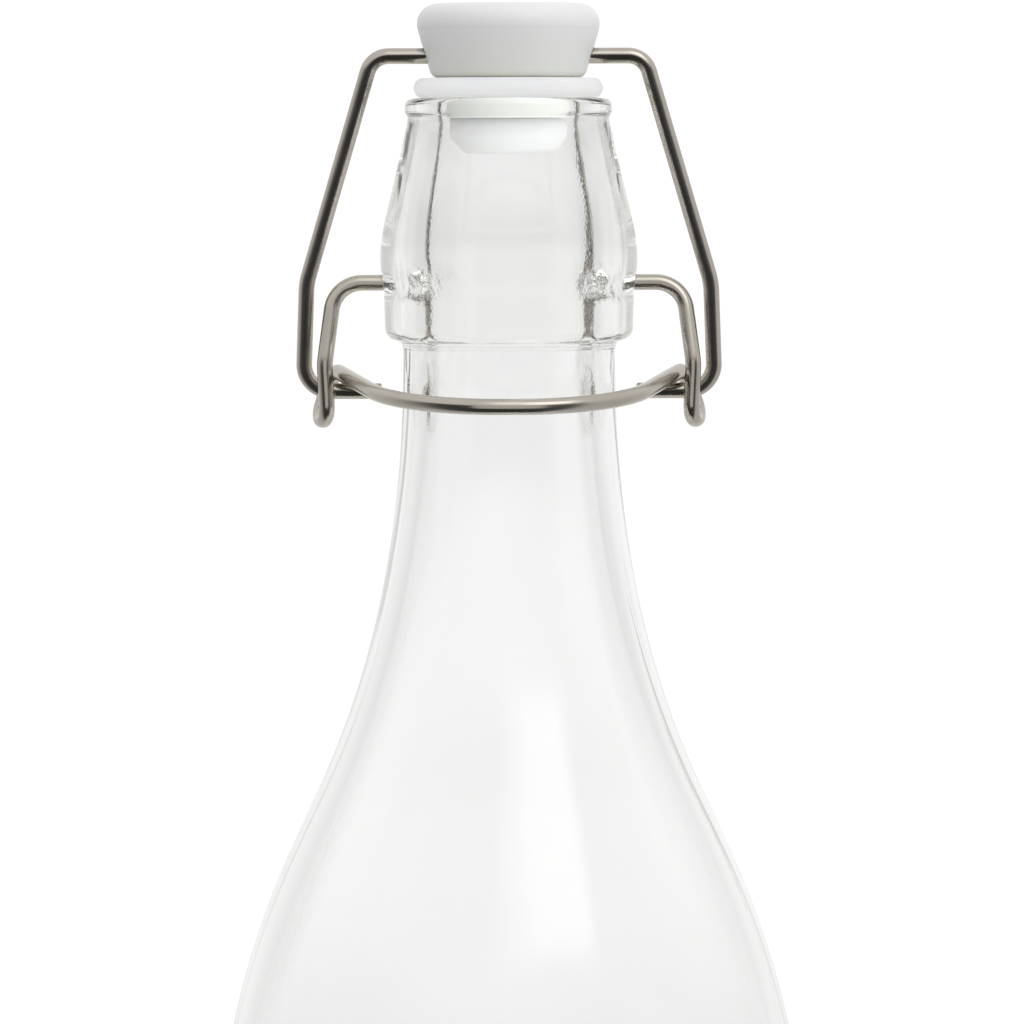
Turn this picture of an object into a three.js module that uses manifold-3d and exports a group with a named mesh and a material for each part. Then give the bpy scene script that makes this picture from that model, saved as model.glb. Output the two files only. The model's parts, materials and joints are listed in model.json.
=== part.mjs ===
// Swing-top growler: a one-litre clear-glass bottle closed by a stopper on two bent steel wires.
// Millimetres, +Z up. The origin is at the centre of the base, on the plane the bottle stands on.
// +X is the axis of the closure's pivots, and -Y is the front, where the handle lies when it is closed.
import * as THREE from "three";
import { mergeVertices } from "three/addons/utils/BufferGeometryUtils.js";
import Module from "manifold-3d";

const wasm = await Module();
wasm.setup();

// Driving dimensions.
const GLASS_HEIGHT = 318; // base to the top of the lip
const BODY_RADIUS = 42.5;
const BODY_WALL = 3;
const NECK_RADIUS = 14.6;
const NECK_WALL = 3.8;
const LIP_RADIUS = 14.25;
const MOUTH_RADIUS = 9.2;
const COLLAR_RADIUS = 17.7;
const WIRE_RADIUS = 1.1;
const GAP = 0.3; // left between faces that touch on the real object
const PIVOT_DROP = 25.3; // from the lip down to the lever wire's pivot
const PIVOT_TO_STUD = 14.9; // throw of the lever: from its pivot down to the bail wire's studs
const CROSS_RISE = 5.8; // from the lip up to the wire that crosses the stopper
const HANDLE_REACH = 27.3; // how far the handle stands in front of the bottle's axis

// Places worked out from them.
const LIP = GLASS_HEIGHT;
const PIVOT = LIP - PIVOT_DROP;
const STUD = PIVOT - PIVOT_TO_STUD;
const CROSS = LIP + CROSS_RISE;
const BORE_RADIUS = NECK_RADIUS - NECK_WALL;
const WIRE_PITCH = 2 * WIRE_RADIUS + GAP; // closest that two wires' centre lines come
const HOLE_RADIUS = WIRE_RADIUS + 0.35; // hole that a wire turns in

// Fineness of the round shapes.
const BOTTLE_SEGMENTS = 36;
const STOPPER_SEGMENTS = 32;
const HOLE_SEGMENTS = 16;
const WIRE_SIDES = 8;
const WIRE_STEP = 1.3; // length of wire between two sections

const glass = new THREE.MeshStandardMaterial({
  color: 0xe4ebe8,
  roughness: 0.03,
  metalness: 0,
  transparent: true,
  opacity: 0.35,
});
const whitePlastic = new THREE.MeshStandardMaterial({ color: 0xe9ecee, roughness: 0.4, metalness: 0 });
const silicone = new THREE.MeshStandardMaterial({ color: 0xe6ebe2, roughness: 0.55, metalness: 0 });
const bailSteel = new THREE.MeshStandardMaterial({ color: 0xa8a39b, roughness: 0.25, metalness: 1 });
const leverSteel = new THREE.MeshStandardMaterial({ color: 0xa8a39b, roughness: 0.25, metalness: 1 });

// A point of an outline: distance from the axis, and height.
function at(radius, height) {
  return new THREE.Vector2(radius, height);
}

// Outline of a turned piece, drawn from stretch to stretch.
class Outline {
  constructor(start) {
    this.points = [start];
  }

  get end() {
    return this.points[this.points.length - 1];
  }

  line(...corners) {
    this.points.push(...corners);
    return this;
  }

  // Cubic curve on to `to`, leaving along `out` and arriving along `into`.
  sweep(out, to, into, steps) {
    const curve = new THREE.CubicBezierCurve(
      this.end,
      this.end.clone().add(out),
      to.clone().sub(into),
      to,
    );
    this.points.push(...curve.getPoints(steps).slice(1));
    return this;
  }

  // Line towards `corner`, rounded there into the direction of `next`.
  round(corner, radius, next, steps) {
    const start = this.end.clone().sub(corner).setLength(radius).add(corner);
    const end = next.clone().sub(corner).setLength(radius).add(corner);
    this.points.push(...new THREE.QuadraticBezierCurve(start, corner, end).getPoints(steps));
    return this;
  }

  // The solid it makes when it is turned about Z.
  turned(segments) {
    const geometry = new THREE.LatheGeometry(this.points, segments);
    geometry.rotateX(Math.PI / 2);
    return geometry;
  }
}

// Step of a given length in a direction.
function along(direction, length) {
  return direction.clone().multiplyScalar(length);
}

// Manifold solid of a geometry, with shared vertices merged.
function solid(geometry) {
  const bare = geometry.clone();
  bare.deleteAttribute("normal");
  bare.deleteAttribute("uv");
  const merged = mergeVertices(bare, 1e-4);
  const mesh = new wasm.Mesh({
    numProp: 3,
    vertProperties: new Float32Array(merged.attributes.position.array),
    triVerts: new Uint32Array(merged.index.array),
  });
  return new wasm.Manifold(mesh);
}

// Geometry of a manifold solid.
function geometryOf(body) {
  const mesh = body.getMesh();
  const geometry = new THREE.BufferGeometry();
  geometry.setAttribute("position", new THREE.BufferAttribute(mesh.vertProperties, 3));
  geometry.setIndex(new THREE.BufferAttribute(mesh.triVerts, 1));
  geometry.computeVertexNormals();
  return geometry;
}

// Round rod along X, for cutting the holes that the wires turn in.
function rodAlongX(from, to, height) {
  const rod = new THREE.CylinderGeometry(HOLE_RADIUS, HOLE_RADIUS, to - from, HOLE_SEGMENTS);
  rod.rotateZ(Math.PI / 2);
  rod.translate((from + to) / 2, 0, height);
  return solid(rod);
}

// The bend of a wire at a corner: an arc of the given radius between two straight runs.
class Bend extends THREE.Curve {
  constructor(corner, before, after, radius) {
    super();
    this.radius = radius;
    this.onward = corner.clone().sub(before).normalize();
    const away = after.clone().sub(corner).normalize();
    this.turn = this.onward.angleTo(away);
    const reach = radius * Math.tan(this.turn / 2);
    this.start = corner.clone().addScaledVector(this.onward, -reach);
    this.end = corner.clone().addScaledVector(away, reach);
    this.inward = away.addScaledVector(this.onward, -away.dot(this.onward)).normalize();
    this.centre = this.start.clone().addScaledVector(this.inward, radius);
  }

  getPoint(t, target = new THREE.Vector3()) {
    const angle = this.turn * t;
    return target
      .copy(this.centre)
      .addScaledVector(this.inward, -this.radius * Math.cos(angle))
      .addScaledVector(this.onward, this.radius * Math.sin(angle));
  }
}

// A wire through a list of corners [x, y, z, bend radius]; the two ends have no bend.
function bentWire(corners) {
  const points = corners.map(([x, y, z]) => new THREE.Vector3(x, y, z));
  const path = new THREE.CurvePath();
  let from = points[0];
  for (let i = 1; i < points.length - 1; i += 1) {
    const bend = new Bend(points[i], points[i - 1], points[i + 1], corners[i][3]);
    path.add(new THREE.LineCurve3(from, bend.start));
    path.add(bend);
    from = bend.end;
  }
  path.add(new THREE.LineCurve3(from, points[points.length - 1]));
  const section = new THREE.Shape().absarc(0, 0, WIRE_RADIUS, 0, 2 * Math.PI);
  return new THREE.ExtrudeGeometry(section, {
    steps: Math.round(path.getLength() / WIRE_STEP),
    curveSegments: WIRE_SIDES / 2, // a circle takes two sides for each
    extrudePath: path,
  });
}

// A wire that is the same on both sides, from the corners of its right half, outwards from the middle.
function symmetricWire(right) {
  const left = right.map(([x, y, z, bend]) => [-x, y, z, bend]).reverse();
  return bentWire([...left, ...right]);
}

// Base: a flat ring to stand on, with a push-up inside it.
const HEEL_RADIUS = 8;
const RING_OUTER = BODY_RADIUS - HEEL_RADIUS;
const RING_INNER = RING_OUTER - 4.5;
const PUSH_UP = 5;
const FLOOR = 4.5; // thickness of the glass over the ring

// Shoulder: it turns from hollow to full at the flex point, where it leans by the flex slope.
const BODY_TOP = LIP - 178;
const FLEX = at(26.6, LIP - 95.4);
const FLEX_SLOPE = at(-0.47, 1).normalize(); // pointing up the shoulder

// Outside of the glass, from the middle of the push-up to the top of the lip.
function drawOutside(outline) {
  const underside = LIP - 33.5;
  const skirt = at(COLLAR_RADIUS - 0.55, LIP - 29);
  outline
    .sweep(at(RING_INNER * 0.4, 0), at(RING_INNER, 0), at(RING_INNER * 0.3, -PUSH_UP), 4)
    .line(at(RING_OUTER, 0))
    .sweep(at(HEEL_RADIUS * 0.55, 0), at(BODY_RADIUS, HEEL_RADIUS), at(0, HEEL_RADIUS * 0.55), 4)
    .line(at(BODY_RADIUS, BODY_TOP))
    .sweep(at(0, 49.5), FLEX, along(FLEX_SLOPE, 19.6), 8)
    .sweep(along(FLEX_SLOPE, 23), at(NECK_RADIUS, underside), at(0, 19.5), 8)
    .round(at(skirt.x - 0.1, underside + 0.7), 1.1, skirt, 2)
    .line(skirt)
    .sweep(at(0, 3), at(COLLAR_RADIUS, LIP - 22), at(0, 2.4), 3)
    .sweep(at(0, 4.5), at(LIP_RADIUS - 0.4, LIP - 2.7), at(-2.2, 11), 6)
    .sweep(at(0, 0.4), at(LIP_RADIUS, LIP - 1.7), at(0, 0.6), 2)
    .round(at(LIP_RADIUS, LIP), 1.2, at(MOUTH_RADIUS, LIP), 2);
}

// Inside of the glass, from the top of the lip down to the middle of the floor.
function drawInside(outline) {
  const innerRadius = BODY_RADIUS - BODY_WALL;
  const innerFlex = FLEX.clone().sub(at(3, 1.4));
  outline
    .round(at(MOUTH_RADIUS, LIP), 1.2, at(MOUTH_RADIUS, LIP - 4), 2)
    .line(at(MOUTH_RADIUS, LIP - 4))
    .sweep(at(0, -6), at(BORE_RADIUS, LIP - 22), at(0, -8), 4)
    .line(at(BORE_RADIUS, LIP - 36))
    .sweep(at(0, -18), innerFlex, along(FLEX_SLOPE, -22), 6)
    .sweep(along(FLEX_SLOPE, -20), at(innerRadius, BODY_TOP), at(0, -48), 8)
    .round(at(innerRadius, FLOOR), 5, at(RING_INNER, FLOOR), 3)
    .line(at(RING_INNER, FLOOR))
    .sweep(at(-RING_INNER * 0.3, PUSH_UP), at(0, FLOOR + PUSH_UP), at(-RING_INNER * 0.4, 0), 4);
}

// Glass bottle, with a blind pocket on each side of the collar for the ends of the lever wire.
function bottle() {
  const outline = new Outline(at(0, PUSH_UP));
  drawOutside(outline);
  drawInside(outline);
  const pocketEnd = BORE_RADIUS + 1.6;
  const outside = COLLAR_RADIUS + 2;
  const body = solid(outline.turned(BOTTLE_SEGMENTS))
    .subtract(rodAlongX(pocketEnd, outside, PIVOT))
    .subtract(rodAlongX(-outside, -pocketEnd, PIVOT));
  return geometryOf(body);
}

// Stopper and gasket: the head sits on the gasket's ring, and its stem passes through to the plug end.
const HEAD_BASE = LIP + 2.8;
const HEAD_TOP = LIP + 13;
const HEAD_RADIUS = 12.55;
const STEM_RADIUS = 5.6;
const SKIRT_END = LIP - 2.9; // lower end of the gasket's skirt in the mouth

// White head, with its stem through the gasket and the plug end that hangs in the mouth.
function stopper() {
  const plugRadius = 8.1;
  const plugTop = SKIRT_END - GAP;
  const plugEnd = LIP - 8.3;
  const bevelTop = plugEnd + 2.2; // the plug tapers below this
  const outline = new Outline(at(0, plugEnd))
    .round(at(plugRadius - 1.5, plugEnd), 0.9, at(plugRadius, bevelTop), 2)
    .line(at(plugRadius, bevelTop), at(plugRadius, plugTop))
    .line(at(STEM_RADIUS, plugTop), at(STEM_RADIUS, HEAD_BASE))
    .round(at(10.5, HEAD_BASE), 1, at(11.2, HEAD_BASE + 2.3), 2)
    .sweep(at(0.9, 3.2), at(HEAD_RADIUS, HEAD_TOP - 3), at(0.2, 1.2), 3)
    .sweep(at(0.1, 1.6), at(9.6, HEAD_TOP), at(-1.8, 0), 5)
    .line(at(0, HEAD_TOP));
  const holeEnd = HEAD_RADIUS + 2;
  return geometryOf(solid(outline.turned(STOPPER_SEGMENTS)).subtract(rodAlongX(-holeEnd, holeEnd, CROSS)));
}

// Silicone ring on the lip, with a rounded rim and a short skirt in the mouth.
function gasket() {
  const rimRadius = 13;
  const top = HEAD_BASE - GAP;
  const bottom = LIP + GAP;
  const middle = (top + bottom) / 2;
  const bore = STEM_RADIUS + GAP;
  const skirtRadius = 8.5;
  return new Outline(at(bore, SKIRT_END))
    .line(at(skirtRadius - 0.4, SKIRT_END), at(skirtRadius, SKIRT_END + 0.8))
    .line(at(skirtRadius, bottom), at(rimRadius - 1, bottom))
    .sweep(at(0.6, 0), at(rimRadius, middle), at(0, 0.7), 2)
    .sweep(at(0, 0.7), at(rimRadius - 1, top), at(-0.6, 0), 2)
    .line(at(bore, top), at(bore, SKIRT_END))
    .turned(STOPPER_SEGMENTS);
}

// Outer wire: through the stopper head, down both sides, with a stud at each end.
function bailWire() {
  const topWidth = 18.7; // widths are measured from the middle
  const hipWidth = 27.8;
  const footWidth = 28.3;
  const studEnd = 17.5;
  return symmetricWire([
    [topWidth, 0, CROSS, 3],
    [hipWidth, 0, PIVOT, 10],
    [footWidth, 0, STUD, 3.7],
    [studEnd, 0, STUD],
  ]);
}

// Inner wire: an end in each pocket, an eye round each stud, and the handle across the front.
function leverWire() {
  const noseWidth = 14.6; // corner of the handle's nose, before it is rounded
  const noseHeight = STUD - 1.3;
  const noseBend = 18;
  const eyeBend = 2.4;
  const eyeWidth = 26.5; // outermost leg of the eye
  const eyeTop = STUD + 2.9;
  const eyeBottom = STUD - 3.95;
  const eyeFront = -WIRE_PITCH - 0.1;
  const kneeHeight = STUD + 3.8;
  return symmetricWire([
    [noseWidth, -HANDLE_REACH, noseHeight, noseBend],
    [eyeWidth - 2.4, WIRE_PITCH, eyeTop, eyeBend],
    [eyeWidth, WIRE_PITCH, eyeBottom, eyeBend],
    [eyeWidth - 1.6, eyeFront, eyeBottom, eyeBend],
    [eyeWidth - 1.2, eyeFront, kneeHeight, 6],
    [eyeWidth - 2.6, 0, PIVOT, 4.2],
    [BORE_RADIUS + 2, 0, PIVOT],
  ]);
}

function node(name, geometry, material) {
  const mesh = new THREE.Mesh(geometry, material);
  mesh.name = name;
  return mesh;
}

const growler = new THREE.Group();
growler.add(node("bottle", bottle(), glass));
growler.add(node("stopper", stopper(), whitePlastic));
growler.add(node("gasket", gasket(), silicone));
growler.add(node("bail_wire", bailWire(), bailSteel));
growler.add(node("lever_wire", leverWire(), leverSteel));

export default growler;
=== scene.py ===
"""Looks of the swing-top growler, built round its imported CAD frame. Metres, +Z up.

The bottle stands on its base ring at the origin. +X is the axis of the closure's pivots, and -Y is
the front, where the handle lies when the closure is shut.
"""

import json
import math

import bmesh
import bpy
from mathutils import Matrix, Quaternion, Vector, noise


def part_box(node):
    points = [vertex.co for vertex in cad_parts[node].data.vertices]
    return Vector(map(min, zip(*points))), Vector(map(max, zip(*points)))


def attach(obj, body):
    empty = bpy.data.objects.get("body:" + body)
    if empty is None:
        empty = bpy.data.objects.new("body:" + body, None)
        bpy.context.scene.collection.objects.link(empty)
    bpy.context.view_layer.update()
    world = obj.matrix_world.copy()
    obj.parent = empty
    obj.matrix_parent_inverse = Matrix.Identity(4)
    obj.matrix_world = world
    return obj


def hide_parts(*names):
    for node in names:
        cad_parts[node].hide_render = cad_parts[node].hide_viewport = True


MM = 0.001
ON_AXIS = 1e-7  # a point nearer to the axis than this is on it

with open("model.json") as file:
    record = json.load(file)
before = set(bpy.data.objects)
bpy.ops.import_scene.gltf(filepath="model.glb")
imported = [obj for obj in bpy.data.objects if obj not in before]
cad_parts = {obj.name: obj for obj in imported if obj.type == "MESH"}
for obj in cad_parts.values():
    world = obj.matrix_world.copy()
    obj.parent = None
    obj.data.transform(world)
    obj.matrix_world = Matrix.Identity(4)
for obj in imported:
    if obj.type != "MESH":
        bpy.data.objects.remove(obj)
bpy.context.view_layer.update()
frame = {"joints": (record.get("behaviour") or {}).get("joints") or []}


def joint_height(name):
    """Height of a joint's axis."""
    return next(joint["pos_m"][2] for joint in frame["joints"] if joint["name"] == name)


# Places that the frame gives.
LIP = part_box("bottle")[1].z
BODY_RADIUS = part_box("bottle")[1].x
PIVOT = joint_height("lever_pivot")
STUD = joint_height("bail_pivot")
CROSS = joint_height("stopper_swivel")
HEAD_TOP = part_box("stopper")[1].z
PLUG_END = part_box("stopper")[0].z
SKIRT_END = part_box("gasket")[0].z
WIRE_RADIUS = 1.1 * MM
HANDLE_REACH = -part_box("lever_wire")[0].y - WIRE_RADIUS

# Sizes of the glass and the stopper, as the frame's solids have them.
NECK_RADIUS = 14.6 * MM
BORE_RADIUS = 10.8 * MM
LIP_RADIUS = 14.25 * MM
MOUTH_RADIUS = 9.2 * MM
COLLAR_RADIUS = 17.7 * MM
BODY_WALL = 3 * MM
HEAD_BASE = LIP + 2.8 * MM
HEAD_RADIUS = 12.55 * MM
STEM_RADIUS = 5.6 * MM
POCKET_RADIUS = WIRE_RADIUS + 0.35 * MM
PLUG_RADIUS = 8.1 * MM
PLUG_TOP = SKIRT_END - 0.1 * MM
SKIRT_RADIUS = 8.5 * MM


# ---------------------------------------------------------------- outlines and meshes


def at(radius, height):
    """A point of an outline: distance from the axis, and height."""
    return Vector((radius, height))


class Outline:
    """Outline of a turned piece, drawn from stretch to stretch with a point every `step`."""

    def __init__(self, start, step):
        self.points = [start]
        self.step = step

    def every(self, step):
        """Sets the distance between the points from here on."""
        self.step = step
        return self

    def _add(self, curve, length):
        count = max(2, math.ceil(length / self.step))
        self.points += [curve(i / count) for i in range(1, count + 1)]

    def line(self, *corners):
        for corner in corners:
            start = self.points[-1]
            self._add(lambda t: start.lerp(corner, t), (corner - start).length)
        return self

    def sweep(self, out, to, into):
        """Cubic curve on to `to`, leaving along `out` and arriving along `into`."""
        a, b, c, d = self.points[-1], self.points[-1] + out, to - into, to
        length = (b - a).length + (c - b).length + (d - c).length

        def curve(t):
            s = 1 - t
            return a * s**3 + b * (3 * s * s * t) + c * (3 * s * t * t) + d * t**3

        self._add(curve, length)
        return self

    def round(self, corner, radius, towards):
        """Line towards `corner`, rounded there into the direction of `towards`."""
        start = corner + (self.points[-1] - corner).normalized() * radius
        end = corner + (towards - corner).normalized() * radius
        self.line(start)
        self._add(lambda t: start * (1 - t) ** 2 + corner * (2 * t * (1 - t)) + end * t**2, 2 * radius)
        return self


def mesh_object(name, vertices, faces):
    """Smooth-shaded object in the scene."""
    mesh = bpy.data.meshes.new(name)
    mesh.from_pydata(vertices, [], faces)
    mesh.validate()
    for polygon in mesh.polygons:
        polygon.use_smooth = True
    made = bpy.data.objects.new(name, mesh)
    bpy.context.scene.collection.objects.link(made)
    return made


def turned(name, outline, angles, shape=None, ring=False):
    """Mesh of an outline turned about Z.

    `shape(radius, height, angle, share)` may move a point, given how far along the outline it is.
    An outline that starts and ends on the axis closes at two poles; a ring's closes on itself.
    """
    points = outline.points
    vertices = []
    rows = []
    for i, point in enumerate(points):
        share = i / (len(points) - 1)
        if not ring and point.x < ON_AXIS:
            rows.append([len(vertices)] * len(angles))
            vertices.append((0, 0, point.y))
            continue
        rows.append(range(len(vertices), len(vertices) + len(angles)))
        for angle in angles:
            radius, height = point
            if shape:
                radius, height = shape(radius, height, angle, share)
            vertices.append((radius * math.cos(angle), radius * math.sin(angle), height))
    faces = []
    pairs = list(zip(rows, rows[1:]))
    if ring:
        pairs.append((rows[-1], rows[0]))
    for low, high in pairs:
        for i in range(len(angles)):
            after = (i + 1) % len(angles)
            corners = [low[i], low[after], high[after], high[i]]
            faces.append(list(dict.fromkeys(corners)))
    return mesh_object(name, vertices, faces)


def even_angles(count):
    """Directions all the way round, in radians."""
    return [2 * math.pi * i / count for i in range(count)]


def smoothstep(low, high, value):
    """0 below `low`, 1 above `high`, and a soft rise between them."""
    t = min(1.0, max(0.0, (value - low) / (high - low)))
    return t * t * (3 - 2 * t)


def ridge(distance, width):
    """A soft ridge of height 1 where distance is 0."""
    return math.exp(-((distance / width) ** 2))


def lumps(angle, waves, along, aside=(0, 0)):
    """Smooth unevenness between -1 and 1.

    `waves` sets how fine it is round the axis, `along` is a height in the units of its own pattern, and
    another `aside` gives another pattern.
    """
    place = Vector((math.cos(angle) * waves + aside[0], math.sin(angle) * waves + aside[1], along))
    return noise.noise(place)


# ---------------------------------------------------------------- glass bottle

HEEL_RADIUS = 8 * MM
BASE_NOTCHES = 90
RING_OUTER = BODY_RADIUS - HEEL_RADIUS
RING_INNER = RING_OUTER - 4.5 * MM
PUSH_UP = 5 * MM
FLOOR = 4.5 * MM
BODY_TOP = LIP - 178 * MM
FLEX = at(26.6 * MM, LIP - 95.4 * MM)  # where the shoulder's round turns into the neck's hollow
FLEX_SLOPE = at(-0.47, 1).normalized()
NECK_TOP = LIP - 33.5 * MM
MOULD_LINE = NECK_TOP - 0.5 * MM  # where the mould of the neck ring meets that of the body
POCKET_END = BORE_RADIUS + 1.1 * MM
SEAM_WIDTH = 0.4 * MM


def draw_outside(outline):
    """Outside of the glass, from the middle of the push-up to the top of the lip."""
    skirt = at(COLLAR_RADIUS - 0.55 * MM, LIP - 29 * MM)
    outline.every(2 * MM)
    outline.sweep(at(RING_INNER * 0.4, 0), at(RING_INNER, 0), at(RING_INNER * 0.3, -PUSH_UP))
    outline.every(0.9 * MM).line(at(RING_OUTER, 0))
    outline.sweep(at(HEEL_RADIUS * 0.55, 0), at(BODY_RADIUS, HEEL_RADIUS), at(0, HEEL_RADIUS * 0.55))
    outline.every(3 * MM).line(at(BODY_RADIUS, BODY_TOP))
    outline.every(1.6 * MM).sweep(at(0, 49.5 * MM), FLEX, FLEX_SLOPE * 19.6 * MM)
    outline.every(1.1 * MM)
    outline.sweep(FLEX_SLOPE * 23 * MM, at(NECK_RADIUS, MOULD_LINE - 2 * MM), at(0, 17.5 * MM))
    outline.every(0.12 * MM).line(at(NECK_RADIUS, NECK_TOP - 0.8 * MM))
    outline.round(at(NECK_RADIUS, NECK_TOP), 0.8 * MM, at(COLLAR_RADIUS, NECK_TOP + 0.7 * MM))
    outline.round(at(skirt.x - 0.1 * MM, NECK_TOP + 0.7 * MM), 1.5 * MM, skirt)
    outline.every(0.16 * MM).line(skirt)
    outline.sweep(at(0, 3 * MM), at(COLLAR_RADIUS, LIP - 22 * MM), at(0, 2.4 * MM))
    outline.every(0.6 * MM)
    outline.sweep(at(0, 4.5 * MM), at(LIP_RADIUS - 0.4 * MM, LIP - 2.7 * MM), at(-2.2 * MM, 11 * MM))
    outline.every(0.2 * MM).sweep(at(0, 0.4 * MM), at(LIP_RADIUS, LIP - 1.7 * MM), at(0, 0.6 * MM))
    outline.round(at(LIP_RADIUS, LIP), 1.2 * MM, at(MOUTH_RADIUS, LIP))


def draw_inside(outline):
    """Inside of the glass, from the top of the lip down to the middle of the floor."""
    inner_radius = BODY_RADIUS - BODY_WALL
    inner_flex = FLEX - at(3 * MM, 1.4 * MM)
    outline.round(at(MOUTH_RADIUS, LIP), 1.2 * MM, at(MOUTH_RADIUS, LIP - 4 * MM))
    outline.every(0.7 * MM).line(at(MOUTH_RADIUS, LIP - 4 * MM))
    outline.sweep(at(0, -6 * MM), at(BORE_RADIUS, LIP - 22 * MM), at(0, -8 * MM))
    outline.line(at(BORE_RADIUS, LIP - 36 * MM))
    outline.every(1.2 * MM).sweep(at(0, -18 * MM), inner_flex, FLEX_SLOPE * -22 * MM)
    outline.every(2 * MM).sweep(FLEX_SLOPE * -20 * MM, at(inner_radius, BODY_TOP), at(0, -48 * MM))
    outline.every(4 * MM).line(at(inner_radius, FLOOR + 6 * MM))
    outline.every(1.2 * MM).round(at(inner_radius, FLOOR), 5 * MM, at(RING_INNER, FLOOR))
    outline.line(at(RING_INNER, FLOOR))
    outline.every(2 * MM)
    outline.sweep(at(-RING_INNER * 0.3, PUSH_UP), at(0, FLOOR + PUSH_UP), at(-RING_INNER * 0.4, 0))


def bottle_angles():
    """Directions of the bottle's sections: every 2 degrees, and closer together round the pockets."""
    coarse, fine, reach = 2.0, 0.5, 9
    degrees = []
    angle = 0.0
    while angle < 360 - 1e-6:
        degrees.append(angle)
        from_pocket = min(angle % 180, 180 - angle % 180)
        angle += fine if from_pocket < reach else coarse
    return [math.radians(d) for d in degrees]


def pocket_depth(height, angle, radius):
    """How far the blind pocket for the lever wire's end goes into the collar at a point."""
    across = radius * math.sin(angle)
    from_axis = math.hypot(across, height - PIVOT)
    outside = smoothstep(POCKET_RADIUS - 0.1 * MM, POCKET_RADIUS + 0.45 * MM, from_axis)
    return (radius - POCKET_END) * (1 - outside)


def outside_shape(radius, height, angle):
    """Outside of the glass with its pockets, mould lines and slight unevenness."""
    lump = 0.03 * MM * lumps(angle, 2.5, height * 60)
    seam = 0.02 * MM * ridge(radius * math.sin(angle), SEAM_WIDTH)
    joint = 0.13 * MM * ridge(height - MOULD_LINE, 0.22 * MM)
    if height < 0.3 * MM:
        notch = 0.25 * MM * max(0.0, math.sin(angle * BASE_NOTCHES))
        from_inside = smoothstep(RING_INNER, RING_INNER + 1 * MM, radius)
        from_outside = 1 - smoothstep(RING_OUTER, RING_OUTER + 2 * MM, radius)
        return radius, height + notch * from_inside * from_outside
    if height > NECK_TOP:
        seam *= 0.5
    depth = pocket_depth(height, angle, radius) if radius > NECK_RADIUS else 0
    return radius + lump + seam + joint - depth, height


def inside_shape(radius, height, angle):
    """Inside of the glass, which the mould doesn't touch, so that its surface is drawn and wavy."""
    streak = lumps(angle, 5, height * 22)
    ripple = lumps(angle, 9, height * 420, aside=(7, 3))
    below_mouth = 1 - smoothstep(LIP - 9 * MM, LIP - 4 * MM, height)
    in_neck = smoothstep(LIP - 75 * MM, LIP - 45 * MM, height) * below_mouth
    at_joint = ridge(height - (MOULD_LINE - 1.5 * MM), 3.5 * MM)
    uneven = 0.08 * below_mouth * streak + (0.012 * in_neck + 0.06 * at_joint) * ripple
    behind_pocket = ridge(radius * math.sin(angle), 6 * MM) * ridge(height - PIVOT, 1.7 * MM)
    bulge = 0.7 * behind_pocket * (1 + ripple)
    return radius + (uneven - bulge) * MM, height


def glass_bottle():
    """The whole bottle, outside and inside in one outline."""
    outline = Outline(at(0, PUSH_UP), 1 * MM)
    draw_outside(outline)
    outside_count = len(outline.points)
    draw_inside(outline)
    lip_share = outside_count / len(outline.points)

    def shape(radius, height, angle, share):
        side = outside_shape if share < lip_share else inside_shape
        return side(radius, height, angle)

    return turned("bottle_glass", outline, bottle_angles(), shape)


# ---------------------------------------------------------------- stopper and gasket

ALL_ROUND = even_angles(144)


def cut_rod_along_x(target, radius, height):
    """Cuts a round hole along X through a piece."""
    reach = 20 * MM
    outline = Outline(at(0, -reach), 2 * reach)
    outline.line(at(radius, -reach), at(radius, reach), at(0, reach))
    cutter = turned("cutter", outline, even_angles(48))
    cutter.rotation_euler = (0, math.pi / 2, 0)
    cutter.location = (0, 0, height)
    modifier = target.modifiers.new("hole", "BOOLEAN")
    modifier.operation = "DIFFERENCE"
    modifier.solver = "EXACT"
    modifier.object = cutter
    apply_modifiers(target)
    bpy.data.objects.remove(cutter)


def apply_modifiers(target):
    """Makes what the modifiers do part of the mesh."""
    view = bpy.context.evaluated_depsgraph_get()
    target.data = bpy.data.meshes.new_from_object(target.evaluated_get(view), depsgraph=view)
    target.modifiers.clear()


def stopper_head():
    """White head with its stem."""
    parting = HEAD_TOP - 3.2 * MM
    outline = Outline(at(0, PLUG_TOP), 0.7 * MM)
    outline.line(at(STEM_RADIUS, PLUG_TOP), at(STEM_RADIUS, HEAD_BASE))
    outline.every(0.35 * MM)
    outline.round(at(10.5 * MM, HEAD_BASE), 1 * MM, at(11.2 * MM, HEAD_BASE + 2.3 * MM))
    outline.sweep(at(0.9 * MM, 3.2 * MM), at(HEAD_RADIUS, HEAD_TOP - 3 * MM), at(0.2 * MM, 1.2 * MM))
    outline.sweep(at(0.1 * MM, 1.6 * MM), at(9.6 * MM, HEAD_TOP), at(-1.8 * MM, 0))
    outline.every(0.8 * MM).line(at(2.2 * MM, HEAD_TOP - 0.05 * MM))
    outline.every(0.2 * MM).sweep(at(-0.5 * MM, 0), at(0, HEAD_TOP - 0.5 * MM), at(-0.8 * MM, 0))

    def shape(radius, height, angle, share):
        line = 0.04 * MM * ridge(height - parting, 0.12 * MM)
        sink = 0.05 * MM * lumps(angle, 1.5, height * 150)
        return radius + line + (sink if radius > STEM_RADIUS else 0), height

    made = turned("stopper_head", outline, ALL_ROUND, shape)
    cut_rod_along_x(made, POCKET_RADIUS, CROSS)
    return made


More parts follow.
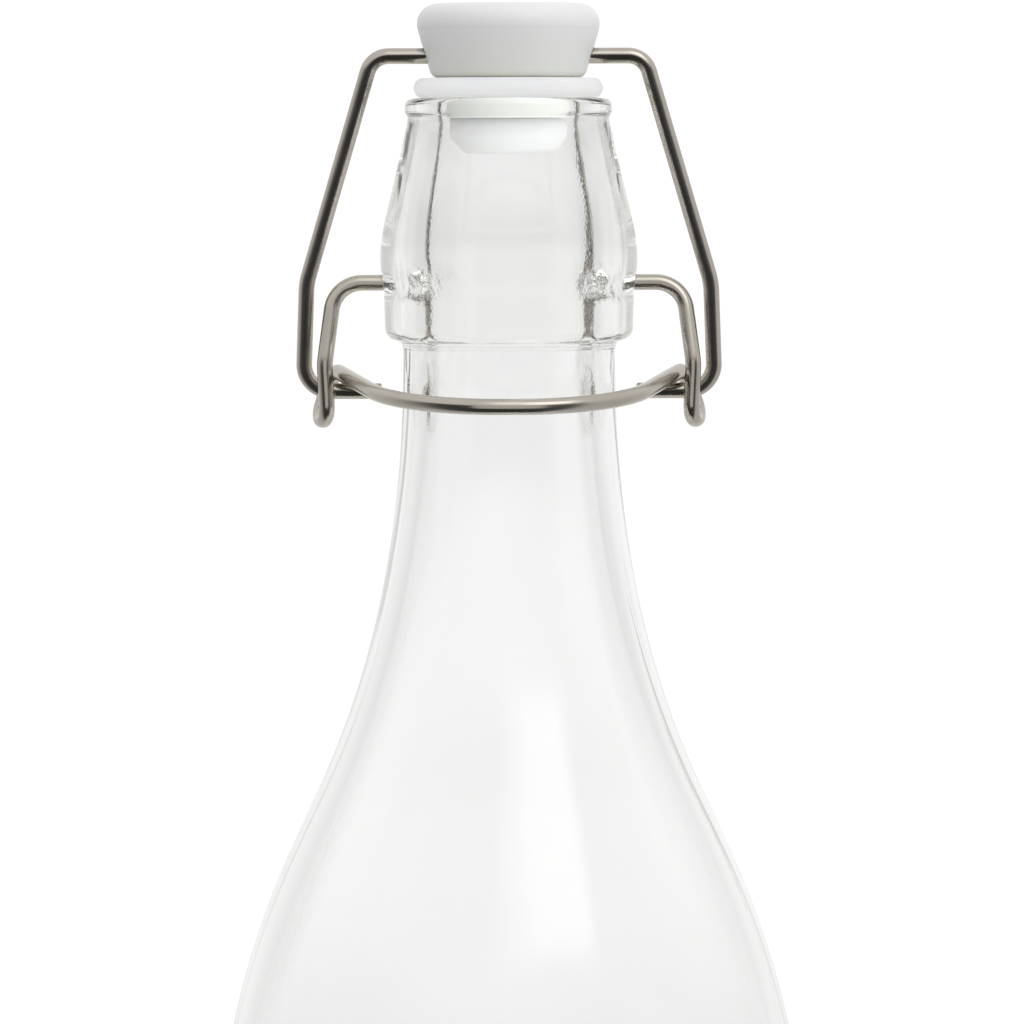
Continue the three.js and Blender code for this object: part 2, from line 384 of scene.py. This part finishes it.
def plug_end():
    """Bevelled end under the gasket, which centres the stopper in the mouth."""
    bevel_top = PLUG_END + 2.2 * MM
    outline = Outline(at(0, PLUG_END), 0.7 * MM)
    outline.round(at(PLUG_RADIUS - 1.5 * MM, PLUG_END), 0.9 * MM, at(PLUG_RADIUS, bevel_top))
    outline.every(0.3 * MM).round(at(PLUG_RADIUS, bevel_top), 0.5 * MM, at(PLUG_RADIUS, PLUG_TOP))
    outline.round(at(PLUG_RADIUS, PLUG_TOP), 0.3 * MM, at(0, PLUG_TOP))
    outline.every(0.7 * MM).line(at(0, PLUG_TOP))

    def shape(radius, height, angle, share):
        return radius * (1 + 0.004 * lumps(angle, 2, height * 200)), height

    return turned("plug_end", outline, ALL_ROUND, shape)


def gasket_ring():
    """Silicone ring between the head and the lip."""
    rim_radius = 13 * MM
    top = HEAD_BASE - 0.03 * MM
    bottom = LIP + 0.03 * MM
    middle = (top + bottom) / 2
    bore = STEM_RADIUS + 0.05 * MM
    outline = Outline(at(bore, bottom), 0.8 * MM).line(at(rim_radius - 1.3 * MM, bottom))
    outline.every(0.25 * MM)
    outline.sweep(at(0.7 * MM, 0), at(rim_radius, middle), at(0, 0.9 * MM))
    outline.sweep(at(0, 0.9 * MM), at(rim_radius - 1.3 * MM, top), at(-0.7 * MM, 0))
    outline.every(0.8 * MM).line(at(bore, top), at(bore, bottom + 0.4 * MM))

    def shape(radius, height, angle, share):
        flash = 0.05 * MM * ridge(height - middle, 0.1 * MM) if radius > rim_radius - 0.4 * MM else 0
        squeeze = 0.08 * MM * lumps(angle, 2, 4)
        return radius + flash + (squeeze if radius > SKIRT_RADIUS else 0), height

    return turned("gasket_ring", outline, ALL_ROUND, shape, ring=True)


def gasket_skirt():
    """The gasket's part in the mouth of the bottle."""
    top = LIP + 0.02 * MM
    bore = STEM_RADIUS + 0.05 * MM
    outline = Outline(at(bore, SKIRT_END), 0.5 * MM)
    outline.round(at(SKIRT_RADIUS, SKIRT_END), 0.5 * MM, at(SKIRT_RADIUS, top))
    outline.line(at(SKIRT_RADIUS, top), at(bore, top), at(bore, SKIRT_END + 0.4 * MM))
    return turned("gasket_skirt", outline, ALL_ROUND, ring=True)


# ---------------------------------------------------------------- wires


def bend_points(before, corner, after, radius, step):
    """Points along the arc that joins two straight runs of wire at a corner."""
    onward = (corner - before).normalized()
    away = (after - corner).normalized()
    turn = onward.angle(away)
    start = corner - onward * radius * math.tan(turn / 2)
    inward = (away - onward * away.dot(onward)).normalized()
    centre = start + inward * radius
    count = max(3, math.ceil(radius * turn / step))
    turns = [turn * i / count for i in range(count + 1)]
    return [centre + (onward * math.sin(t) - inward * math.cos(t)) * radius for t in turns]


def symmetric_route(right, step=0.35 * MM):
    """Centre line of a wire from the corners (x, y, z, bend radius) of its right half."""
    left = [(-x, y, z, bend) for x, y, z, bend in reversed(right)]
    corners = left + right
    points = [Vector(c[:3]) for c in corners]
    route = [points[0]]
    for i in range(1, len(points) - 1):
        route += bend_points(points[i - 1], points[i], points[i + 1], corners[i][3], step)
    route.append(points[-1])
    return route


def spaced(route, step):
    """The same line with a point about every `step`."""
    made = [route[0]]
    for start, end in zip(route, route[1:]):
        count = max(1, round((end - start).length / step))
        made += [start.lerp(end, i / count) for i in range(1, count + 1)]
    return made


def wire_sections(route):
    """Centre, direction and radius of each section of a wire, whose ends are cut and deburred."""
    chamfer = 0.2 * MM
    tangents = []
    for i in range(len(route)):
        before, after = route[max(0, i - 1)], route[min(len(route) - 1, i + 1)]
        tangents.append((after - before).normalized())
    sections = [(route[0], tangents[0], WIRE_RADIUS - chamfer)]
    sections.append((route[0] + tangents[0] * chamfer, tangents[0], WIRE_RADIUS))
    sections += [(p, t, WIRE_RADIUS) for p, t in zip(route[1:-1], tangents[1:-1])]
    sections.append((route[-1] - tangents[-1] * chamfer, tangents[-1], WIRE_RADIUS))
    sections.append((route[-1], tangents[-1], WIRE_RADIUS - chamfer))
    return sections


def wire(name, route, sides=28):
    """Round wire along a route, with a UV map that runs along it."""
    sections = wire_sections(spaced(route, 0.8 * MM))
    vertices = []
    side = sections[0][1].orthogonal().normalized()
    for centre, tangent, radius in sections:
        side = (side - tangent * side.dot(tangent)).normalized()
        up = tangent.cross(side)
        for i in range(sides):
            turn = 2 * math.pi * i / sides
            vertices.append(centre + (side * math.cos(turn) + up * math.sin(turn)) * radius)
    faces = []
    for row in range(len(sections) - 1):
        for i in range(sides):
            after = (i + 1) % sides
            a, b = row * sides, (row + 1) * sides
            faces.append((a + i, a + after, b + after, b + i))
    faces.append(tuple(reversed(range(sides))))
    last = (len(sections) - 1) * sides
    faces.append(tuple(last + i for i in range(sides)))
    made = mesh_object(name, vertices, faces)
    made.data.polygons[-1].use_smooth = False
    made.data.polygons[-2].use_smooth = False
    lay_along(made.data, sections, sides)
    return made


def lay_along(mesh, sections, sides):
    """UV map of a wire: turns round it, and metres along it."""
    lengths = [0.0]
    for a, b in zip(sections, sections[1:]):
        lengths.append(lengths[-1] + (b[0] - a[0]).length)
    layer = mesh.uv_layers.new(name="along")
    for polygon in mesh.polygons:
        columns = [mesh.loops[i].vertex_index % sides for i in polygon.loop_indices]
        wraps = max(columns) - min(columns) > sides / 2
        for i, column in zip(polygon.loop_indices, columns):
            row = mesh.loops[i].vertex_index // sides
            turn = column + sides if wraps and column == 0 else column
            layer.data[i].uv = (turn / sides, lengths[row])


def bail_wire():
    """Outer wire: through the stopper's head, down both sides, with a stud at each end."""
    top_half, hip_half, foot_half, stud_end = 18.7 * MM, 27.8 * MM, 28.3 * MM, 17.5 * MM
    return wire("bail_steel", symmetric_route([
        (top_half, 0, CROSS, 3 * MM),
        (hip_half, 0, PIVOT, 10 * MM),
        (foot_half, 0, STUD, 3.7 * MM),
        (stud_end, 0, STUD, 0),
    ]))


def lever_wire():
    """Inner wire: an end in each pocket, an eye round each stud, and the handle across the front."""
    nose_half, nose_bend = 14.6 * MM, 18 * MM
    eye_half, eye_bend = 26.5 * MM, 2.4 * MM
    eye_back = 2.5 * MM
    eye_front = -eye_back - 0.1 * MM
    eye_bottom = STUD - 3.95 * MM
    return wire("lever_steel", symmetric_route([
        (nose_half, -HANDLE_REACH, STUD - 1.3 * MM, nose_bend),
        (eye_half - 2.4 * MM, eye_back, STUD + 2.9 * MM, eye_bend),
        (eye_half, eye_back, eye_bottom, eye_bend),
        (eye_half - 1.6 * MM, eye_front, eye_bottom, eye_bend),
        (eye_half - 1.2 * MM, eye_front, STUD + 3.8 * MM, 6 * MM),
        (eye_half - 2.6 * MM, 0, PIVOT, 4.2 * MM),
        (BORE_RADIUS + 2 * MM, 0, PIVOT, 0),
    ]))


# ---------------------------------------------------------------- materials


def node(tree, kind, inputs=None, **settings):
    """A shader node with its settings, and with its inputs set or linked."""
    made = tree.nodes.new("ShaderNode" + kind)
    for name, value in settings.items():
        setattr(made, name, value)
    connect(tree, made, inputs or {})
    return made


def connect(tree, target, inputs):
    """Sets a node's inputs to values, or links them to other nodes' outputs."""
    for name, value in inputs.items():
        if isinstance(value, bpy.types.NodeSocket):
            tree.links.new(value, target.inputs[name])
        else:
            target.inputs[name].default_value = value


def new_material(name, **inputs):
    """A material with one Principled shader, its tree and that shader."""
    material = bpy.data.materials.new(name)
    material.use_nodes = True
    tree = material.node_tree
    shader = tree.nodes["Principled BSDF"]
    connect(tree, shader, {key.replace("_", " "): value for key, value in inputs.items()})
    return material, tree, shader


def noise_at(tree, coordinates, scale, detail=2.0):
    made = node(tree, "TexNoise", {"Vector": coordinates, "Scale": scale, "Detail": detail})
    return made.outputs["Fac"]


def ranged(tree, value, low, high):
    """A 0 to 1 pattern carried to the range low to high."""
    return node(tree, "MapRange", {"Value": value, "To Min": low, "To Max": high}).outputs["Result"]


def maths(tree, operation, one, other=0.0):
    return node(tree, "Math", {0: one, 1: other}, operation=operation).outputs["Value"]


def blend_in(tree, value, from_here, to_here, kind="LINEAR"):
    """0 where a value is still at `from_here`, and 1 once it has reached `to_here`."""
    limits = {"Value": value, "From Min": from_here, "From Max": to_here}
    return node(tree, "MapRange", limits, interpolation_type=kind).outputs["Result"]


def bumped(tree, height, distance, strength=1.0, over=None):
    """Bumps of a pattern, on top of other bumps if there are any."""
    inputs = {"Height": height, "Distance": distance, "Strength": strength}
    if over:
        inputs["Normal"] = over
    return node(tree, "Bump", inputs).outputs["Normal"]


def tinted(tree, pattern, one, other):
    """Colour that goes from one to the other as a pattern goes from 0 to 1."""
    made = node(tree, "Mix", {"Factor": pattern, "A": one, "B": other}, data_type="RGBA")
    return made.outputs["Result"]


def either(tree, share, one, other):
    """One surface, turning into the other as `share` goes from 0 to 1."""
    return node(tree, "MixShader", {0: share, 1: one, 2: other}).outputs["Shader"]


MOST_MIRRORINGS = 3.5  # inside the glass, after which the light leaves it


def clear_glass():
    """Clear soda-lime glass, faintly green through its thickness, with the skin that a mould leaves."""
    material, tree, shader = new_material(
        "clear_glass", Base_Color=(1, 1, 1, 1), Roughness=0.0, IOR=1.52, Transmission_Weight=1.0
    )
    place = node(tree, "TexCoord").outputs["Object"]
    x, y, z = node(tree, "SeparateXYZ", {0: place}).outputs
    axis = node(tree, "CombineXYZ", {"X": x, "Y": y}).outputs["Vector"]
    radius = node(tree, "VectorMath", {0: axis}, operation="LENGTH").outputs["Value"]
    in_bore = blend_in(tree, radius, NECK_RADIUS - 2 * MM, BORE_RADIUS)
    grain = maths(tree, "MULTIPLY", noise_at(tree, place, 3200, 2), in_bore)
    crumple = behind_pockets(tree, place, y, z, in_bore)
    skin = bumped(tree, noise_at(tree, place, 220, 2), 0.03 * MM, 0.3)
    pitted = bumped(tree, grain, 0.02 * MM, 0.5, over=skin)
    crumpled = bumped(tree, crumple, 0.2 * MM, 0.8, over=pitted)
    connect(tree, shader, {"Normal": crumpled})
    absorption = node(tree, "VolumeAbsorption", {"Color": (0.84, 0.86, 0.8, 1), "Density": 15.0})
    output = tree.nodes["Material Output"]
    tree.links.new(absorption.outputs["Volume"], output.inputs["Volume"])
    let_lamps_through(tree, shader)
    return material


def behind_pockets(tree, place, y, z, in_bore):
    """Crumpled patch in the bore behind each pocket, where the pin of the mould pressed the glass in."""
    above = maths(tree, "SUBTRACT", z, PIVOT)
    patch = noise_at(tree, place, 1300, 3)
    for offset, inner, outer in ((above, 0.8 * MM, 2.6 * MM), (y, 6 * MM, 9 * MM)):
        near = blend_in(tree, maths(tree, "ABSOLUTE", offset), outer, inner)
        patch = maths(tree, "MULTIPLY", patch, near)
    return maths(tree, "MULTIPLY", patch, in_bore)


def let_lamps_through(tree, shader):
    """A lamp's light goes straight through the glass, and so does light that its wall has caught."""
    path = node(tree, "LightPath").outputs
    from_lamp = maths(tree, "MAXIMUM", path["Is Shadow Ray"], path["Is Diffuse Ray"])
    caught = maths(tree, "GREATER_THAN", path["Glossy Depth"], MOST_MIRRORINGS)
    straight = maths(tree, "MAXIMUM", from_lamp, caught)
    clear = node(tree, "BsdfTransparent", {"Color": (0.98, 0.985, 0.975, 1)}).outputs["BSDF"]
    mixed = either(tree, straight, shader.outputs["BSDF"], clear)
    tree.links.new(mixed, tree.nodes["Material Output"].inputs["Surface"])


def white_plastic():
    """Moulded white plastic: satin, slightly translucent, with a fine grain and faint flow marks."""
    material, tree, shader = new_material(
        "white_plastic", Subsurface_Weight=0.25, Subsurface_Radius=(1, 0.95, 0.9),
        Subsurface_Scale=2.5 * MM, Specular_IOR_Level=0.45,
    )
    place = node(tree, "TexCoord").outputs["Object"]
    flow = noise_at(tree, place, 90, 3)
    grain = noise_at(tree, place, 2600, 3)
    connect(tree, shader, {
        "Base Color": tinted(tree, flow, (0.71, 0.72, 0.715, 1), (0.75, 0.76, 0.75, 1)),
        "Roughness": ranged(tree, grain, 0.36, 0.5),
        "Normal": bumped(tree, grain, 0.012 * MM, 0.6),
    })
    return material


def milky(name, colours, depth=20 * MM):
    """Milky silicone or plastic: soft and matt, and light spreads right through it."""
    material, tree, shader = new_material(
        name, Subsurface_Weight=1.0, Subsurface_Radius=(1, 1, 0.85),
        Subsurface_Scale=depth, Specular_IOR_Level=0.35,
    )
    place = node(tree, "TexCoord").outputs["Object"]
    cloud = noise_at(tree, place, 160, 4)
    grain = noise_at(tree, place, 1500, 3)
    connect(tree, shader, {
        "Base Color": tinted(tree, cloud, *colours),
        "Roughness": ranged(tree, grain, 0.5, 0.68),
        "Normal": bumped(tree, grain, 0.02 * MM, 0.5),
    })
    return material


def silicone():
    return milky("silicone", [(0.93, 0.94, 0.81, 1), (0.95, 0.955, 0.85, 1)])


def silicone_painted_shade():
    """The silicone where the gasket is thin, which lets more light through. Its colour is darker than
    the ring's silicone: painted shade on the skirt under the lip.
    """
    return milky("silicone_painted_shade", [(0.77, 0.785, 0.77, 1), (0.8, 0.81, 0.8, 1)], depth=2 * MM)


# The plug end's plastic, painted far whiter than the head's: painted light for the brightness it gets
# lit from behind through the glass.
def plug_painted_bright():
    return milky("plug_painted_bright", [(0.98, 0.985, 0.97, 1), (0.99, 0.99, 0.98, 1)])


def drawn_steel(name, shift):
    """Stainless wire with the long scratches that drawing leaves, and duller patches from handling."""
    material, tree, shader = new_material(name, Metallic=1.0)
    along = node(tree, "UVMap", uv_map="along").outputs["UV"]
    stretch = {"Vector": along, "Location": (shift, shift, 0), "Scale": (60, 90, 1)}
    scratches = noise_at(tree, node(tree, "Mapping", stretch).outputs["Vector"], 1.0, 4)
    place = node(tree, "TexCoord").outputs["Object"]
    patches = noise_at(tree, place, 180, 3)
    dull = maths(tree, "MULTIPLY", scratches, patches)
    connect(tree, shader, {
        "Base Color": tinted(tree, patches, (0.455, 0.42, 0.365, 1), (0.565, 0.53, 0.475, 1)),
        "Roughness": ranged(tree, dull, 0.12, 0.42),
        "Normal": bumped(tree, scratches, 0.01 * MM, 0.7),
    })
    return material


# ---------------------------------------------------------------- pieces


def place_piece(piece, body, cad_node, material):
    """The piece rides on a body, stands for its CAD node, and takes its material."""
    piece.data.materials.clear()
    piece.data.materials.append(material)
    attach(piece, body)
    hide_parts(cad_node)


place_piece(glass_bottle(), "bottle", "bottle", clear_glass())
place_piece(stopper_head(), "stopper", "stopper", white_plastic())
place_piece(plug_end(), "stopper", "stopper", plug_painted_bright())
place_piece(gasket_ring(), "stopper", "gasket", silicone())
# The skirt takes a darker copy of the gasket's silicone, painted shade.
place_piece(gasket_skirt(), "stopper", "gasket", silicone_painted_shade())
place_piece(bail_wire(), "bail", "bail_wire", drawn_steel("bail_steel", 0.0))
place_piece(lever_wire(), "lever", "lever_wire", drawn_steel("lever_steel", 5.0))


# ---------------------------------------------------------------- studio


def floor():
    """Pale floor that fades into the white surroundings."""
    radius, fade_from = 1.6, 0.9
    outline = Outline(at(0, 0), 0.1).line(at(radius, 0))
    made = turned("floor", outline, even_angles(64))
    material, tree, shader = new_material("floor", Base_Color=(0.86, 0.86, 0.86, 1))
    place = node(tree, "TexCoord").outputs["Object"]
    connect(tree, shader, {"Roughness": ranged(tree, noise_at(tree, place, 300), 0.5, 0.7)})
    distance = node(tree, "VectorMath", {0: place}, operation="LENGTH").outputs["Value"]
    fade = blend_in(tree, distance, fade_from, radius, "SMOOTHSTEP")
    clear = node(tree, "BsdfTransparent").outputs["BSDF"]
    mixed = either(tree, fade, shader.outputs["BSDF"], clear)
    tree.links.new(mixed, tree.nodes["Material Output"].inputs["Surface"])
    made.data.materials.append(material)
    made.visible_glossy = False


SEEN_WHITE = 1.04  # brightness of the background as the camera sees it
CEILING = 0.88  # brightness of everything above the walls
LOW_DIMMING = 0.9  # how much of a wall's brightness is left below the horizon

# Upward slope of the directions between which the walls brighten or turn into the ceiling.
WALL_FOOT = -0.09, -0.035
WALL_TOP = 0.16, 0.5

# Brightness of the studio's walls by direction: degrees from the camera's side, growing to the right.
WALLS = [
    (-180, 1.0), (-165, 0.95), (-150, 0.86), (-135, 0.78), (-124, 0.76), (-104, 0.7), (-92, 0.62),
    (-78, 0.45), (-62, 0.2), (-50, 0.08), (0, 0.04), (45, 0.1), (60, 0.65), (95, 0.76), (104, 0.7),
    (124, 0.76), (135, 0.8), (150, 0.89), (165, 0.96), (180, 1.0),
]


def surroundings():
    """Studio: bright behind and above, darker at the sides and in front, and white where it is seen."""
    world = bpy.data.worlds.new("studio")
    bpy.context.scene.world = world
    world.use_nodes = True
    tree = world.node_tree
    direction = node(tree, "SeparateXYZ", {0: node(tree, "TexCoord").outputs["Generated"]})
    x, y, z = direction.outputs
    azimuth = maths(tree, "ARCTAN2", x, maths(tree, "MULTIPLY", y, -1.0))
    walls = node(tree, "ValToRGB", {"Fac": blend_in(tree, azimuth, -math.pi, math.pi)})
    ramp = walls.color_ramp
    while len(ramp.elements) < len(WALLS):
        ramp.elements.new(0.5)
    for element, (degrees, level) in zip(ramp.elements, WALLS):
        element.position = degrees / 360 + 0.5
        element.color = (level, level, level, 1)
    low = ranged(tree, blend_in(tree, z, *WALL_FOOT), LOW_DIMMING, 1.0)
    scaled = node(tree, "VectorMath", {0: walls.outputs["Color"], "Scale": low}, operation="SCALE")
    upper = blend_in(tree, z, *WALL_TOP, "SMOOTHSTEP")
    lit = tinted(tree, upper, scaled.outputs["Vector"], (CEILING, CEILING, CEILING, 1))
    seen = node(tree, "LightPath").outputs["Is Camera Ray"]
    colour = tinted(tree, seen, lit, (SEEN_WHITE, SEEN_WHITE, SEEN_WHITE, 1))
    connect(tree, tree.nodes["Background"], {"Color": colour, "Strength": 1.0})


def towards_light(azimuth, elevation):
    """Direction of a light. Azimuth 0 is the camera's side, and it grows to the right."""
    a, e = math.radians(azimuth), math.radians(elevation)
    return Vector((math.sin(a) * math.cos(e), -math.cos(a) * math.cos(e), math.sin(e)))


def softbox(azimuth, elevation, distance, size, radiance):
    """Panel of light aimed at the closure, which fades out most slowly on its left."""
    half = Vector((size[0] / 2, size[1] / 2))
    corners = [(-half.x, -half.y, 0), (half.x, -half.y, 0), (half.x, half.y, 0), (-half.x, half.y, 0)]
    panel = mesh_object("softbox", corners, [(0, 1, 2, 3)])
    material = bpy.data.materials.new("softbox")
    material.use_nodes = True
    tree = material.node_tree
    tree.nodes.clear()
    place = node(tree, "TexCoord").outputs["Object"]
    across, up, _ = node(tree, "SeparateXYZ", {0: place}).outputs
    cover = 1.0
    for value, edge, inside in (
        (across, -half.x, half.x * 0.1), (across, half.x, half.x * 0.75),
        (up, -half.y, -half.y * 0.6), (up, half.y, half.y * 0.7),
    ):
        cover = maths(tree, "MULTIPLY", cover, blend_in(tree, value, edge, inside, "SMOOTHSTEP"))
    emission = node(tree, "Emission", {"Strength": radiance}).outputs["Emission"]
    clear = node(tree, "BsdfTransparent").outputs["BSDF"]
    output = node(tree, "OutputMaterial")
    tree.links.new(either(tree, cover, clear, emission), output.inputs["Surface"])
    panel.data.materials.append(material)
    direction = towards_light(azimuth, elevation)
    panel.location = Vector((0, 0, PIVOT)) + direction * distance
    panel.rotation_euler = direction.to_track_quat("Z", "Y").to_euler()
    panel.visible_camera = False


def fill_light(name, azimuth, elevation, distance, size, radiance, mirrored=False):
    """Soft light on the closure, which the glass and the steel mirror only if it says so."""
    light = bpy.data.lights.new(name, "AREA")
    light.size = size
    light.energy = radiance * math.pi * size * size
    made = bpy.data.objects.new(name, light)
    bpy.context.scene.collection.objects.link(made)
    direction = towards_light(azimuth, elevation)
    made.location = Vector((0, 0, PIVOT)) + direction * distance
    made.rotation_euler = direction.to_track_quat("Z", "Y").to_euler()
    made.visible_glossy = mirrored
    made.visible_transmission = False
    return made


def shine_only_on(light, *names):
    """Keeps a light to the pieces of these names."""
    lit = bpy.data.collections.new("lit by " + light.name)
    for name in names:
        lit.objects.link(bpy.data.objects[name])
    light.light_linking.receiver_collection = lit


def camera():
    """Long lens, level with the neck and looking a little down, with the lower half out of the frame."""
    elevation, distance, frame_width = math.radians(2.75), 1.0, 141 * MM
    aim = Vector((0.35 * MM, 0, LIP - 56.9 * MM))
    data = bpy.data.cameras.new("camera")
    data.sensor_width = 36
    data.lens = data.sensor_width * distance / frame_width
    made = bpy.data.objects.new("camera", data)
    bpy.context.scene.collection.objects.link(made)
    back = Vector((0, -math.cos(elevation), math.sin(elevation)))
    made.location = aim + back * distance
    roll = Quaternion(back, math.radians(-0.15))
    made.rotation_euler = (roll @ back.to_track_quat("Z", "Y")).to_euler()
    bpy.context.scene.camera = made


bpy.context.scene.view_settings.view_transform = "Standard"
floor()
surroundings()
softbox(azimuth=18, elevation=46, distance=1.5, size=(1.45, 1.2), radiance=2.0)
fill_light("fill_right", azimuth=40, elevation=18, distance=1.4, size=0.8, radiance=1.9)
fill_light("fill_top", azimuth=-10, elevation=72, distance=1.2, size=1.0, radiance=0.95)
in_mouth = fill_light("fill_mouth", azimuth=20, elevation=-12, distance=1.0, size=0.8, radiance=6.0)
shine_only_on(in_mouth, "plug_end", "gasket_skirt")
on_gasket = fill_light("fill_gasket", azimuth=-45, elevation=-4, distance=1.0, size=0.8, radiance=1.6)
shine_only_on(on_gasket, "gasket_ring")
on_handle = fill_light("fill_handle", azimuth=0, elevation=-4, distance=1.2, size=0.9, radiance=0.62,
                       mirrored=True)
shine_only_on(on_handle, "lever_steel")
camera()
